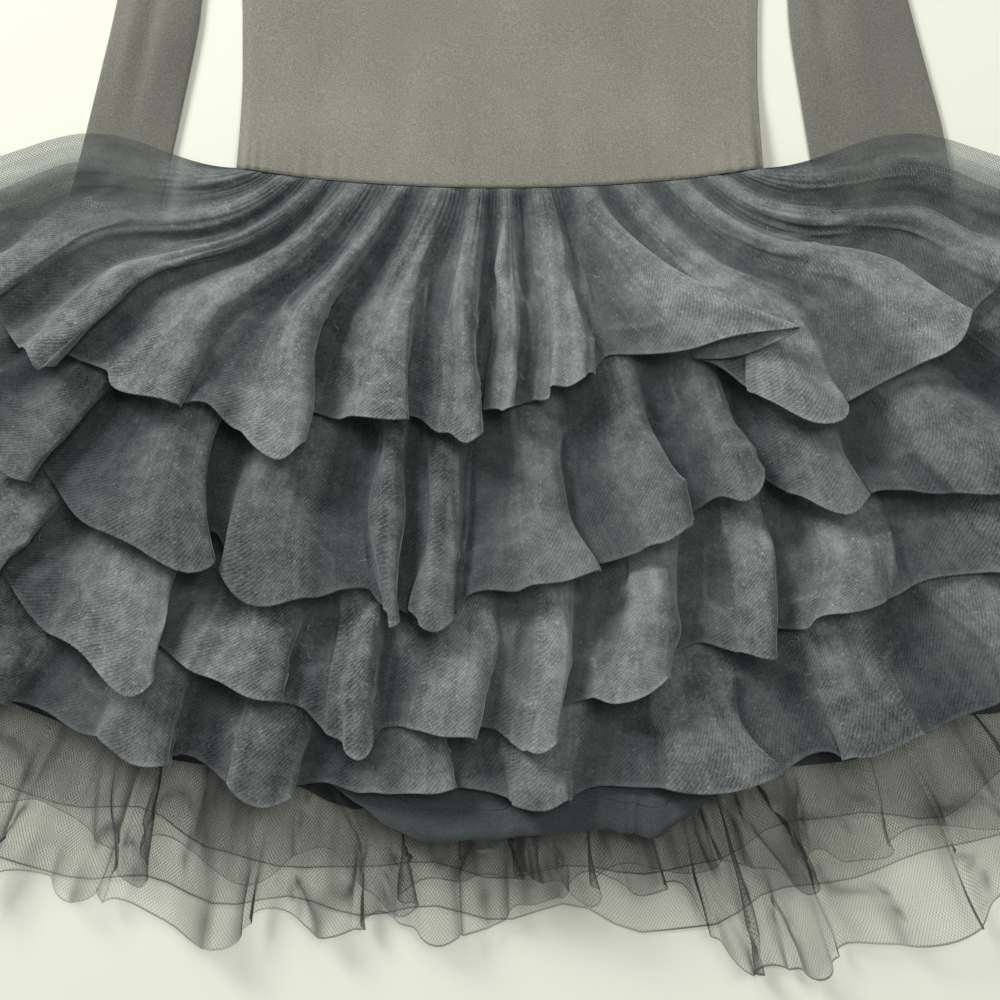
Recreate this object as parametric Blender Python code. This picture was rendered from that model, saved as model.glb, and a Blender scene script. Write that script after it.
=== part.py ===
"""A child's tutu dress laid flat: knit bodice and sleeves, knit slip, four tulle tiers and two nets.

X runs across the dress, +Y from the waist seam to the neck, and +Z up from the surface it lies on.
The skirt's rings share one fan-shaped plan. A place in it is a share of the half ring, from -1 at the
left side to 1 at the right, and a radius down from the waist seam.
"""
import math
from collections import namedtuple

import bpy
import numpy as np

# Driving sizes, in metres
HALF_WAIST = 0.138
WAIST_RISE = 0.010          # the waist seam's ends lie this far above its middle
SHOULDER_HEIGHT = 0.350     # shoulder tips above the middle of the waist seam
TULLE_WALL = 0.0010
KNIT_WALL = 0.0011
PLY_GAP = 0.0005            # free space between two layers of the skirt
SEAM_GAP = 0.0003
HOLLOW_GAP = 0.0016         # free space inside the innermost ring
PLY_PITCH = TULLE_WALL + PLY_GAP
HALF_HOLLOW = TULLE_WALL + HOLLOW_GAP / 2

# The fan that the skirt is laid out in
SIDE_ANGLE = math.radians(90)
EVEN_FAN = 0.3              # this share of the angle opens evenly, and the rest near the sides
FAN_POWER = 7
SIDE_PUFF = 0.018           # how far the sides bulge towards the neck
PUFF_RADIUS = 0.150
PUFF_POWER = 8
SPACING_RADIUS = 0.150      # shares are spaced evenly along the ring of this radius
SIDE_SQUARENESS = 16        # a ring's cross-section is flat, with tight rounded sides
CROWD_START, CROWD_FULL = -0.02, 0.10      # the shares crowd towards the sides between these radii
STATIONS = (0.0, 0.010, 0.035, 0.070, 0.108, 0.150, 0.172, 0.212, 0.245, 0.275, 0.303, 0.330, 0.362, 0.390)
HEM_BAND = 0.012            # the last band of a ring is at least this long
SHARE_LINES = (0.0, 0.22, 0.42, 0.55, 0.63, 0.69, 0.74, 0.79, 0.84, 0.89, 0.935, 0.97)  # of every ring's back
SIDE_BAND = 0.020           # the share beside a ring's side that its back turns up in
SIDE_EVEN = 0.80            # past this share of a ring's span its hem runs out to its full radius
FOLD_POINTS = 6
VALLEY_REACH = 0.98         # a hem is this much shorter between its folds
SEAM_TURN = 0.35            # a fold's turn at the seam, beside its turn at the hem
TURN_POWER, RISE_POWER = 0.7, 0.45          # how fast folds turn and rise on the way down
FINE_STEPS = 40             # steps of the fold curve between two of its points
PRESSED = 0.50              # laid flat, the folds stand at this share of their free height

# The sleeves lie under the skirt's sides and lift them
SLEEVE_HEIGHT = 0.0034
SLEEVE_LIFT = 0.0044
LIFT_START_X, LIFT_FULL_X = 0.090, 0.152
LIFT_START_Y, LIFT_FULL_Y = -0.140, -0.070
CORNER_LOW, CORNER_HIGH = 0.010, 0.060

# A fold's width beside its neighbours', the most its cloth turns from level in degrees, its sideways
# flop per height, its height beside a free fold's, and its hem's radius beside the ring's
Fold = namedtuple("Fold", "width turn flop rise reach")

TIER_1_FOLDS = [
    Fold(0.8, 60, 0.0, 0.34, 1.00),
    Fold(0.9, 75, -0.3, 0.34, 1.00),
    Fold(1.3, 88, -0.5, 0.36, 0.97),
    Fold(1.2, 80, -0.2, 0.28, 1.02),
    Fold(1.0, 88, 0.5, 0.40, 1.10),
    Fold(1.0, 76, 0.3, 0.30, 0.93),
    Fold(0.9, 88, 0.5, 0.40, 1.06),
    Fold(0.7, 86, -0.2, 0.54, 0.90),
    Fold(1.6, 92, 0.7, 0.50, 0.86),
    Fold(1.0, 90, 0.2, 0.32, 0.95),
    Fold(1.2, 88, 0.4, 0.36, 1.04),
    Fold(0.9, 80, 0.3, 0.34, 1.00),
    Fold(0.8, 60, 0.0, 0.34, 1.00),
]
TIER_2_FOLDS = [
    Fold(0.9, 60, 0.0, 0.30, 1.00),
    Fold(1.0, 80, -0.4, 0.30, 1.00),
    Fold(1.0, 86, -0.5, 0.34, 0.98),
    Fold(1.2, 88, 0.6, 0.38, 1.02),
    Fold(1.2, 85, -0.3, 0.28, 1.05),
    Fold(0.8, 84, 0.3, 0.46, 1.12),
    Fold(1.4, 86, -0.2, 0.34, 1.05),
    Fold(1.2, 88, 0.5, 0.36, 0.92),
    Fold(0.9, 84, -0.3, 0.44, 0.87),
    Fold(1.2, 88, 0.4, 0.30, 0.92),
    Fold(1.1, 86, 0.5, 0.36, 1.02),
    Fold(1.0, 75, 0.2, 0.30, 1.00),
    Fold(0.9, 60, 0.0, 0.30, 1.00),
]
TIER_3_FOLDS = [
    Fold(0.9, 60, 0.0, 0.28, 1.00),
    Fold(1.0, 85, -0.4, 0.30, 1.00),
    Fold(0.9, 86, 0.4, 0.44, 1.00),
    Fold(1.2, 84, -0.3, 0.32, 1.03),
    Fold(1.2, 88, 0.5, 0.34, 1.04),
    Fold(1.2, 86, -0.3, 0.30, 1.04),
    Fold(1.5, 92, 0.3, 0.44, 1.02),
    Fold(0.9, 84, 0.4, 0.42, 0.98),
    Fold(1.1, 86, -0.3, 0.38, 0.94),
    Fold(1.0, 90, 0.5, 0.30, 0.92),
    Fold(1.1, 80, 0.3, 0.30, 0.98),
    Fold(0.9, 60, 0.0, 0.28, 1.00),
]
TIER_4_FOLDS = [
    Fold(0.9, 60, 0.0, 0.24, 1.00),
    Fold(1.0, 80, -0.4, 0.26, 1.00),
    Fold(1.1, 84, 0.4, 0.30, 0.99),
    Fold(1.0, 80, -0.3, 0.28, 1.00),
    Fold(1.2, 86, 0.4, 0.32, 1.01),
    Fold(1.0, 90, -0.5, 0.28, 1.03),
    Fold(1.1, 84, 0.3, 0.34, 1.02),
    Fold(1.2, 84, 0.4, 0.28, 0.99),
    Fold(1.0, 82, -0.3, 0.30, 0.97),
    Fold(1.1, 85, 0.3, 0.26, 0.98),
    Fold(1.0, 75, 0.2, 0.26, 1.00),
    Fold(0.9, 60, 0.0, 0.24, 1.00),
]
SLIP_WAVES = [Fold(1.0, 16, 0.0, 0.25, 1.0) for wave in range(5)]

# A net's folds go round these rows again and again
NET_FOLD_ROWS = [
    Fold(1.0, 70, 0.3, 0.16, 1.00),
    Fold(0.7, 80, -0.4, 0.28, 1.03),
    Fold(1.3, 60, 0.4, 0.14, 0.96),
    Fold(0.9, 80, 0.4, 0.24, 1.04),
    Fold(1.1, 75, -0.3, 0.18, 0.99),
]
NET_SHORT_FOLDS = [NET_FOLD_ROWS[index % 5] for index in range(13)]
NET_LONG_FOLDS = [NET_FOLD_ROWS[(2 * index + 1) % 5] for index in range(15)]

# The rings from the innermost out: the radii of the seam and of the hem, the share of the half ring
# that each spans, the points on a fold, and the folds
Ring = namedtuple("Ring", "name seam hem span points folds material")
RINGS = [
    Ring("net_long", 0.212, 0.390, 0.70, 4, NET_LONG_FOLDS, "coarse_net"),
    Ring("net_short", 0.212, 0.362, 0.75, 4, NET_SHORT_FOLDS, "coarse_net"),
    Ring("slip", 0.0, 0.330, 0.80, 3, SLIP_WAVES, "knit"),
    Ring("tier_4", 0.212, 0.303, 0.845, FOLD_POINTS, TIER_4_FOLDS, "tulle"),
    Ring("tier_3", 0.150, 0.275, 0.89, FOLD_POINTS, TIER_3_FOLDS, "tulle"),
    Ring("tier_2", 0.070, 0.212, 0.945, FOLD_POINTS, TIER_2_FOLDS, "tulle"),
    Ring("tier_1", 0.0, 0.150, 1.00, FOLD_POINTS, TIER_1_FOLDS, "tulle"),
]

# The bodice's half width at heights up its side, from the waist seam to the shoulder tip
SideRow = namedtuple("SideRow", "height half_width")
BODICE_SIDE = [
    SideRow(0.010, 0.1380),
    SideRow(0.032, 0.1370),
    SideRow(0.060, 0.1365),
    SideRow(0.100, 0.1375),
    SideRow(0.145, 0.1405),
    SideRow(0.190, 0.1440),
    SideRow(0.235, 0.1470),
    SideRow(0.350, 0.1156),
]
ARMHOLE_ROWS = 3
NECK_HALF_WIDTH = 0.062
FRONT_NECK_DROP = 0.060
BACK_NECK_DROP = 0.022
SHOULDER_SLOPE = 0.018      # the neck's ends lie this far above the shoulder tips
BODICE_COLUMNS = 14
EDGE_CROWDING = 1.25        # the columns lie closer at the sides, as a sine does up to this angle
NECK_ROUNDNESS = 0.6
PANEL_GAP = 0.0004
WAIST_RAMP = 0.090          # the front panel climbs to the waist seam over this length

# A sleeve's two edges from the armhole to the cuff, on the right sleeve's side
SleeveRow = namedtuple("SleeveRow", "inner_x inner_y outer_x outer_y")
RIGHT_SLEEVE = [
    SleeveRow(0.1475, 0.2352, 0.1161, 0.3502),
    SleeveRow(0.1515, 0.2335, 0.1211, 0.3515),
    SleeveRow(0.1535, 0.2120, 0.1620, 0.3150),
    SleeveRow(0.1530, 0.1650, 0.1900, 0.2400),
    SleeveRow(0.1535, 0.1250, 0.2070, 0.1600),
    SleeveRow(0.1545, 0.0880, 0.2200, 0.0960),
    SleeveRow(0.1620, 0.0310, 0.2350, 0.0310),
    SleeveRow(0.1730, -0.0500, 0.2440, -0.0520),
]
LEFT_SLEEVE = [
    SleeveRow(0.1475, 0.2352, 0.1161, 0.3502),
    SleeveRow(0.1515, 0.2335, 0.1211, 0.3515),
    SleeveRow(0.1540, 0.2120, 0.1580, 0.3150),
    SleeveRow(0.1560, 0.1650, 0.1800, 0.2400),
    SleeveRow(0.1580, 0.1250, 0.1960, 0.1600),
    SleeveRow(0.1610, 0.0880, 0.2060, 0.0960),
    SleeveRow(0.1730, 0.0210, 0.2210, 0.0210),
    SleeveRow(0.1860, -0.0500, 0.2380, -0.0550),
]
SLEEVE_CELLS = 5

COLOURS = {"knit": (0.195, 0.190, 0.155), "tulle": (0.095, 0.105, 0.103), "coarse_net": (0.020, 0.021, 0.024)}
ROUGHNESS = {"knit": 0.85, "tulle": 0.75, "coarse_net": 0.55}


def clear_scene():
    for old in list(bpy.data.objects):
        bpy.data.objects.remove(old, do_unlink=True)


def make_material(node_name, kind):
    material = bpy.data.materials.new(f"{node_name}_{kind}")
    material.use_nodes = True
    shader = material.node_tree.nodes["Principled BSDF"]
    shader.inputs["Base Color"].default_value = (*COLOURS[kind], 1.0)
    shader.inputs["Roughness"].default_value = ROUGHNESS[kind]
    shader.inputs["Metallic"].default_value = 0.0
    return material


def cloth_object(name, rows, closed, wall, kind):
    """A grid of outer points, rows by columns, given a wall on its inner side."""
    row_count, column_count = rows.shape[:2]
    last = column_count if closed else column_count - 1
    faces = []
    for row in range(row_count - 1):
        for column in range(last):
            here = row * column_count + column
            beside = row * column_count + (column + 1) % column_count
            faces.append((here, here + column_count, beside + column_count, beside))
    mesh = bpy.data.meshes.new(name)
    mesh.from_pydata([tuple(point) for point in rows.reshape(-1, 3)], [], faces)
    mesh.materials.append(make_material(name, kind))
    mesh.shade_smooth()
    piece = bpy.data.objects.new(name, mesh)
    bpy.context.collection.objects.link(piece)
    solidify = piece.modifiers.new("wall", "SOLIDIFY")
    solidify.thickness = wall
    solidify.offset = -1.0
    return piece


def ramp(value, start, full):
    """0 at start and 1 at full, with level ends."""
    share = np.clip((value - start) / (full - start), 0, 1)
    return share * share * (3 - 2 * share)


def fan_point(along, radius):
    """Plan position for a place along the waist seam, -1 to 1, and a radius from it."""
    angle = SIDE_ANGLE * (EVEN_FAN * along + (1 - EVEN_FAN) * along ** FAN_POWER)
    bulge = np.sin(np.pi * np.clip(radius / PUFF_RADIUS, 0, 1)) ** 2
    puff = SIDE_PUFF * bulge * np.abs(along) ** PUFF_POWER
    x = HALF_WAIST * along + radius * np.sin(angle)
    y = WAIST_RISE * along ** 2 - radius * np.cos(angle) + puff
    return x, y


def arc_lengths(radius):
    along = np.linspace(-1, 1, 401)
    x, y = fan_point(along, radius)
    steps = np.hypot(np.diff(x), np.diff(y))
    return along, np.concatenate([[0.0], np.cumsum(steps)])


SPACED_ALONG, SPACED_LENGTHS = arc_lengths(SPACING_RADIUS)
SPACED_SHARES = 2 * SPACED_LENGTHS / SPACED_LENGTHS[-1] - 1


def share_point(share, radius):
    """Plan position of a share of the ring. Near the waist the shares crowd less towards the sides."""
    spaced = np.interp(share, SPACED_SHARES, SPACED_ALONG)
    return fan_point(share + (spaced - share) * ramp(radius, CROWD_START, CROWD_FULL), radius)


def ring_length(radius):
    return arc_lengths(radius)[1][-1]


def lift_over_sleeves(x, y):
    return SLEEVE_LIFT * ramp(np.abs(x), LIFT_START_X, LIFT_FULL_X) * ramp(y, LIFT_START_Y, LIFT_FULL_Y)


def fold_section(turn, points):
    """One fold from valley to valley: places across it and heights, both in fold widths."""
    phase = np.linspace(0, 2 * np.pi, FINE_STEPS * points + 1)
    slope = turn * np.sin(phase)
    step = phase[1]
    across = np.concatenate([[0.0], np.cumsum((np.cos(slope[1:]) + np.cos(slope[:-1])) * step / 2)])
    height = np.concatenate([[0.0], np.cumsum((np.sin(slope[1:]) + np.sin(slope[:-1])) * step / 2)])
    picked = np.arange(points) * FINE_STEPS
    return across[picked] / across[-1], height[picked] / across[-1]


def fold_row(ring, radius, down):
    """The front of a ring at one radius: shares across it and heights over its own floor.

    down runs from 0 at the seam to 1 at the hem, and the folds open on the way.
    """
    total = sum(fold.width for fold in ring.folds)
    length = ring_length(radius)
    share = -ring.span
    shares, heights = [], []
    for fold in ring.folds:
        width = 2 * ring.span * fold.width / total
        turn = math.radians(fold.turn) * (SEAM_TURN + (1 - SEAM_TURN) * down ** TURN_POWER)
        across, height = fold_section(turn, ring.points)
        tall = height * width / 2 * length * fold.rise * PRESSED * down ** RISE_POWER
        shares.extend(share + across * width + 2 * fold.flop * tall / length)
        heights.extend(tall)
        share += width
    shares.append(ring.span)
    heights.append(0.0)
    return np.array(shares), np.array(heights)


def hem_reach(ring):
    """The hem's length beside the longest, at each point of the front."""
    crests = [fold.reach for fold in ring.folds]
    reach = []
    for index, crest in enumerate(crests):
        before = crests[max(index - 1, 0)]
        after = crests[min(index + 1, len(crests) - 1)]
        for step in range(ring.points):
            swing = 0.5 - 0.5 * math.cos(2 * math.pi * step / ring.points)
            side = before if 2 * step < ring.points else after
            valley = VALLEY_REACH * (crest + side) / 2
            reach.append(valley + (crest - valley) * swing)
    reach.append(VALLEY_REACH * crests[-1])
    return np.array(reach) / max(reach)


def covers(ring, radius):
    return ring.seam <= radius <= ring.hem


def back_height(ring, radius):
    """The back of a ring lies on the backs of the rings outside it, and else on the floor."""
    outside = RINGS[RINGS.index(ring) + 1:]
    return PLY_PITCH * sum(covers(other, radius) for other in outside)


def middle_height(radius):
    """The height between the front and the back of the innermost ring at a radius."""
    present = [ring for ring in RINGS if covers(ring, radius)] or RINGS[:1]
    return back_height(present[0], radius) + HALF_HOLLOW


def side_closing(shares, span):
    inside = np.clip(np.abs(shares) / span, 0, 1)
    return (1 - inside ** SIDE_SQUARENESS) ** (1 / SIDE_SQUARENESS)


def back_lines(span):
    """Shares of the points on a ring's back, from its right side to its left."""
    half = [share for share in SHARE_LINES if share < span - 2 * SIDE_BAND] + [span - SIDE_BAND, span]
    return np.array(half[::-1] + [-share for share in half[1:]])


def ring_points(ring, tops):
    """The outer points of a ring, row by row. tops holds what lies under it, and gets its own tops."""
    middles = np.array([middle_height(radius) for radius in STATIONS])
    backs = np.array([back_height(ring, radius) for radius in STATIONS])
    floors = np.maximum(middles + HALF_HOLLOW, np.array(tops) + PLY_PITCH)
    reach = hem_reach(ring)
    back_shares = back_lines(ring.span)
    rows = []
    for place, radius in enumerate(STATIONS):
        at_hem = radius == ring.hem
        if not at_hem and not ring.seam <= radius < ring.hem - HEM_BAND:
            continue
        down = (radius - ring.seam) / (ring.hem - ring.seam)
        shares, tall = fold_row(ring, radius, down)
        front_radii = np.full(len(shares), radius + SEAM_GAP * (radius == ring.seam))
        if at_hem:
            longer = reach + (1 - reach) * ramp(np.abs(shares) / ring.span, SIDE_EVEN, 1.0)
            front_radii = ring.seam + (ring.hem - ring.seam) * longer
        back_radii = np.full(len(back_shares), front_radii[0])
        middle = np.interp(front_radii, STATIONS, middles)
        stand = np.interp(front_radii, STATIONS, floors) + tall - middle
        front_z = middle + np.maximum(side_closing(shares, ring.span) * stand, HALF_HOLLOW)
        middle = np.interp(back_radii, STATIONS, middles)
        depth = middle - np.interp(back_radii, STATIONS, backs)
        back_z = middle - np.maximum(side_closing(back_shares, ring.span) * depth, HALF_HOLLOW)
        tops[place] = float(np.max(front_z))
        all_x, all_y = share_point(np.concatenate([shares, back_shares]),
                                   np.concatenate([front_radii, back_radii]))
        all_z = np.concatenate([front_z, back_z]) + lift_over_sleeves(all_x, all_y)
        rows.append(np.stack([all_x, all_y, all_z], axis=1))
    return np.array(rows)


def build_skirt():
    tops = [0.0] * len(STATIONS)
    for ring in RINGS:
        cloth_object(ring.name, ring_points(ring, tops), True, TULLE_WALL, ring.material)
    return tops[0]


def bodice_grid(neck_drop):
    """Plan points of a bodice panel, from the waist seam's row up to the neck and shoulders."""
    heights = [row.height for row in BODICE_SIDE]
    widths = [row.half_width for row in BODICE_SIDE]
    side_heights = heights[:-2] + list(np.linspace(heights[-2], heights[-1], ARMHOLE_ROWS + 1))
    neck_share = NECK_HALF_WIDTH / BODICE_SIDE[-1].half_width
    columns = np.sin(np.linspace(-EDGE_CROWDING, EDGE_CROWDING, BODICE_COLUMNS + 1))
    columns = columns / columns[-1]
    inside_neck = np.clip(1 - (columns / neck_share) ** 2, 0, 1) ** NECK_ROUNDNESS
    slope = SHOULDER_SLOPE * np.clip((1 - np.abs(columns)) / (1 - neck_share), 0, 1)
    top = SHOULDER_HEIGHT + slope - neck_drop * inside_neck
    waist = WAIST_RISE * columns ** 2 + SEAM_GAP
    shares = (np.array(side_heights)[:, None] - WAIST_RISE) / (SHOULDER_HEIGHT - WAIST_RISE)
    x = columns * np.interp(side_heights, heights, widths)[:, None]
    y = waist + shares * (top - waist)
    return x, y


def corner_lift(x, y):
    """The bodice's lower corners follow the skirt over the sleeves."""
    return lift_over_sleeves(x, y) * (1 - ramp(y, CORNER_LOW, CORNER_HIGH))


def build_bodice(waist_top):
    x, y = bodice_grid(BACK_NECK_DROP)
    back = np.stack([x, y, corner_lift(x, y)], axis=2)
    cloth_object("bodice_back", back, False, KNIT_WALL, "knit")
    x, y = bodice_grid(FRONT_NECK_DROP)
    level = 2 * KNIT_WALL + PANEL_GAP
    climb = (waist_top - PLY_GAP - level) * (1 - ramp(y, 0.0, WAIST_RAMP))
    front = np.stack([x, y, level + climb + corner_lift(x, y)], axis=2)[::-1]
    cloth_object("bodice_front", front, False, KNIT_WALL, "knit")


def build_sleeve(name, table, side):
    """A flattened tube: across the top from its inner to its outer edge, then back beneath."""
    across = np.linspace(0, 1, SLEEVE_CELLS + 1)
    rows = []
    for row in table:
        x = side * (row.inner_x + (row.outer_x - row.inner_x) * across)
        y = row.inner_y + (row.outer_y - row.inner_y) * across
        top = np.stack([x, y, np.full(len(x), SLEEVE_HEIGHT)], axis=1)
        bottom = np.stack([x, y, np.zeros(len(x))], axis=1)[::-1]
        loop = np.concatenate([top, bottom])
        rows.append(loop if side > 0 else loop[::-1])
    cloth_object(name, np.array(rows), True, KNIT_WALL, "knit")


clear_scene()
waist_top = build_skirt()
build_bodice(waist_top)
build_sleeve("sleeve_right", RIGHT_SLEEVE, 1)
build_sleeve("sleeve_left", LEFT_SLEEVE, -1)

# The origin goes under the middle of the finished dress
bpy.context.view_layer.update()
graph = bpy.context.evaluated_depsgraph_get()
corners = []
for piece in bpy.data.objects:
    finished = piece.evaluated_get(graph).to_mesh()
    corners.extend(vertex.co.copy() for vertex in finished.vertices)
    piece.evaluated_get(graph).to_mesh_clear()
corners = np.array(corners)
middle = (corners.min(axis=0) + corners.max(axis=0)) / 2
for piece in bpy.data.objects:
    for vertex in piece.data.vertices:
        vertex.co.x -= middle[0]
        vertex.co.y -= middle[1]
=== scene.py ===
import math
import bpy
import numpy as np
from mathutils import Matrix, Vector


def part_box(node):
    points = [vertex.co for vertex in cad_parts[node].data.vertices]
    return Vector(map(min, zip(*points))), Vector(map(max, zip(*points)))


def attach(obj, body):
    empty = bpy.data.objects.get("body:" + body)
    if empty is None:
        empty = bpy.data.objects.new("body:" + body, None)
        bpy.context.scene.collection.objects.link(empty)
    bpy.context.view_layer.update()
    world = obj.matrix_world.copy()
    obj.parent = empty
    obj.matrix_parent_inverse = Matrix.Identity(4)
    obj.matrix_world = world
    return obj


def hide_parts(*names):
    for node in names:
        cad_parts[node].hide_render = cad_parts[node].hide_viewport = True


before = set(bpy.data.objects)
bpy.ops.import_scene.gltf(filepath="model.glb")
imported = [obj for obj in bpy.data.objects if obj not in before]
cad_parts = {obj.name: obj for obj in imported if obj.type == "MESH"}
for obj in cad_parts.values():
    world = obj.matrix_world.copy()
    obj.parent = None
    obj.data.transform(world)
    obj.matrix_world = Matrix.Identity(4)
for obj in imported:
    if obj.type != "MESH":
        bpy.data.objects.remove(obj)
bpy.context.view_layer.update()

seamGap = 0.0003
backLow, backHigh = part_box("bodice_back")
waistX = (backLow[0] + backHigh[0]) / 2  # the middle of the waist seam
waistY = backLow[1] - seamGap

skirt = {
    "halfWaist": 0.138, "waistRise": 0.010,
    "sideAngle": math.radians(90), "evenFan": 0.3, "fanPower": 7,
    "sidePuff": 0.018, "puffRadius": 0.150, "puffPower": 8,
    "spacingRadius": 0.150, "crowdStart": -0.02, "crowdFull": 0.10,
    "sideSquareness": 16,
    "stations": (0.0, 0.010, 0.035, 0.070, 0.108, 0.150, 0.172, 0.212, 0.245, 0.275, 0.303, 0.330, 0.362, 0.390),
    "pressStart": 0.042, "pressEnd": 0.0570, "plyPitch": 0.0015, "halfHollow": 0.0018,
    "seamTurn": 0.35, "turnPower": 0.7, "risePower": 0.45, "slipWall": 0.0005,
}

plan = {  # grid of the heights of what lies beneath a ring
    "shares": 301, "radii": 216, "step": 0.002, "widen": 6, "soften": 3, "layer": 0.0008, "clear": 0.4,
}

sleeveLift = {"height": 0.0044, "startX": 0.090, "fullX": 0.152, "startY": -0.140, "fullY": -0.070}

ringShape = {
    "rowPower": 0.85, "sway": 0.016, "edge": 0.03, "beatSway": 9, "evenShare": 0.65, "unevenShare": 0.5,
    "gatherFade": 3.2, "gatherStart": 0.04, "flaps": 38, "flapSway": 6, "flapStart": 0.72,
    "crumpleStart": 0.10, "crumpleFull": 0.45, "crumpleCrest": 0.30, "crestTop": 1.2,
    "netCrumple": 0.65, "netSteep": 1.3, "backShort": 0.016, "backWaves": 0.009, "backColumns": 96,
}
patterns = {  # cells across, cells down, step of the seed
    "sway": (14, 3, 5), "ragged": (70, 2, 6), "beat": (30, 2, 1), "uneven": (70, 2, 7), "streaks": (110, 3, 2),
    "dents": (46, 6, 3), "flap": (24, 2, 4), "back": (22, 1, 8),
}
tierCloth = {"sharpness": 6.0, "wander": 3, "lap": 1.4}
netCloth = {
    "gathers": 120, "gatherDepth": 0.0009, "streaks": 0.0022, "dents": 0.0026, "flutter": 0.0024, "rise": 1.5,
    "sharpness": 9.0, "wander": 3, "crumpleRise": 0.003, "ragged": 0.004, "loft": 2.0, "lap": 1.6,
}
tier1 = {
    "name": "tier_1", "seam": 0.0, "hem": 0.150, "span": 1.00, "seed": 11, "rows": 56, "foldPoints": 34,
    "gathers": 130, "gatherDepth": 0.0007, "streaks": 0.0018, "dents": 0.0022, "flutter": 0.0016, "powder": 1.22,
    "crumples": 46, "crumpleRise": 0.0016, "ragged": 0.0035, "loft": 1.25, **tierCloth,
    "creases": (  # place, lean, start, end, width, depth
        (0.075, 0.02, 0.15, 0.80, 0.010, 0.0030), (0.165, -0.03, 0.30, 0.95, 0.007, -0.0026),
        (0.243, 0.04, 0.10, 0.55, 0.006, 0.0022), (0.322, 0.02, 0.45, 1.00, 0.009, 0.0034),
        (0.391, -0.02, 0.20, 0.70, 0.005, -0.0022), (0.462, 0.01, 0.35, 0.98, 0.006, 0.0026),
        (0.531, -0.03, 0.15, 0.60, 0.007, 0.0024), (0.618, 0.05, 0.40, 0.95, 0.011, -0.0034),
        (0.655, -0.04, 0.20, 0.85, 0.007, 0.0030), (0.741, 0.03, 0.30, 0.90, 0.008, -0.0026),
        (0.826, -0.02, 0.10, 0.65, 0.006, 0.0028), (0.905, 0.02, 0.35, 0.90, 0.009, -0.0024),
    ),
    "folds": [  # crest share and radius, valley share and radius, height, turn
        (-0.940, 0.150, -0.880, 0.149, 0.006, 70), (-0.800, 0.152, -0.730, 0.147, 0.008, 80),
        (-0.643, 0.158, -0.640, 0.140, 0.011, 86), (-0.500, 0.140, -0.425, 0.137, 0.008, 84),
        (-0.300, 0.156, -0.292, 0.124, 0.014, 90), (-0.165, 0.130, -0.125, 0.125, 0.009, 84),
        (-0.045, 0.147, -0.035, 0.115, 0.014, 90), (0.015, 0.125, 0.030, 0.113, 0.010, 88),
        (0.110, 0.112, 0.170, 0.090, 0.011, 84), (0.455, 0.100, 0.330, 0.100, 0.021, 94),
        (0.440, 0.150, 0.560, 0.138, 0.009, 86), (0.690, 0.144, 0.744, 0.136, 0.012, 88),
        (0.830, 0.138, 0.880, 0.141, 0.009, 80), (0.940, 0.148, 1.000, 0.150, 0.006, 70),
    ],
}
tier2 = {
    "name": "tier_2", "seam": 0.070, "hem": 0.212, "span": 0.945, "seed": 22, "rows": 52, "foldPoints": 34,
    "gathers": 160, "gatherDepth": 0.0011, "streaks": 0.0018, "dents": 0.0024, "flutter": 0.0018, "powder": 0.78,
    "crumples": 50, "crumpleRise": 0.0016, "ragged": 0.0035, "loft": 1.25, **tierCloth,
    "creases": (
        (0.062, 0.02, 0.30, 0.95, 0.008, -0.0024), (0.148, -0.02, 0.35, 1.00, 0.009, 0.0030),
        (0.236, 0.03, 0.40, 0.90, 0.006, 0.0026), (0.297, -0.03, 0.45, 1.00, 0.010, -0.0032),
        (0.352, 0.02, 0.50, 0.95, 0.006, 0.0024), (0.447, 0.02, 0.40, 1.00, 0.007, 0.0030),
        (0.512, -0.04, 0.45, 0.85, 0.008, -0.0026), (0.604, 0.03, 0.50, 1.00, 0.006, 0.0032),
        (0.688, -0.02, 0.40, 0.95, 0.009, -0.0028), (0.779, 0.02, 0.35, 0.90, 0.007, 0.0024),
        (0.871, -0.03, 0.45, 1.00, 0.010, 0.0028),
    ),
    "folds": [
        (-0.890, 0.212, -0.822, 0.208, 0.006, 70), (-0.740, 0.210, -0.670, 0.198, 0.010, 84),
        (-0.560, 0.208, -0.550, 0.192, 0.012, 88), (-0.348, 0.222, -0.372, 0.186, 0.016, 92),
        (-0.290, 0.228, -0.165, 0.208, 0.010, 86), (-0.120, 0.236, -0.105, 0.218, 0.013, 88),
        (-0.060, 0.236, -0.035, 0.214, 0.009, 84), (0.085, 0.205, 0.110, 0.200, 0.009, 84),
        (0.215, 0.192, 0.228, 0.178, 0.013, 88), (0.338, 0.172, 0.348, 0.156, 0.015, 90),
        (0.425, 0.196, 0.480, 0.186, 0.010, 86), (0.590, 0.220, 0.680, 0.204, 0.012, 88),
        (0.760, 0.211, 0.822, 0.206, 0.009, 80), (0.890, 0.212, 0.945, 0.212, 0.006, 70),
    ],
}
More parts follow.
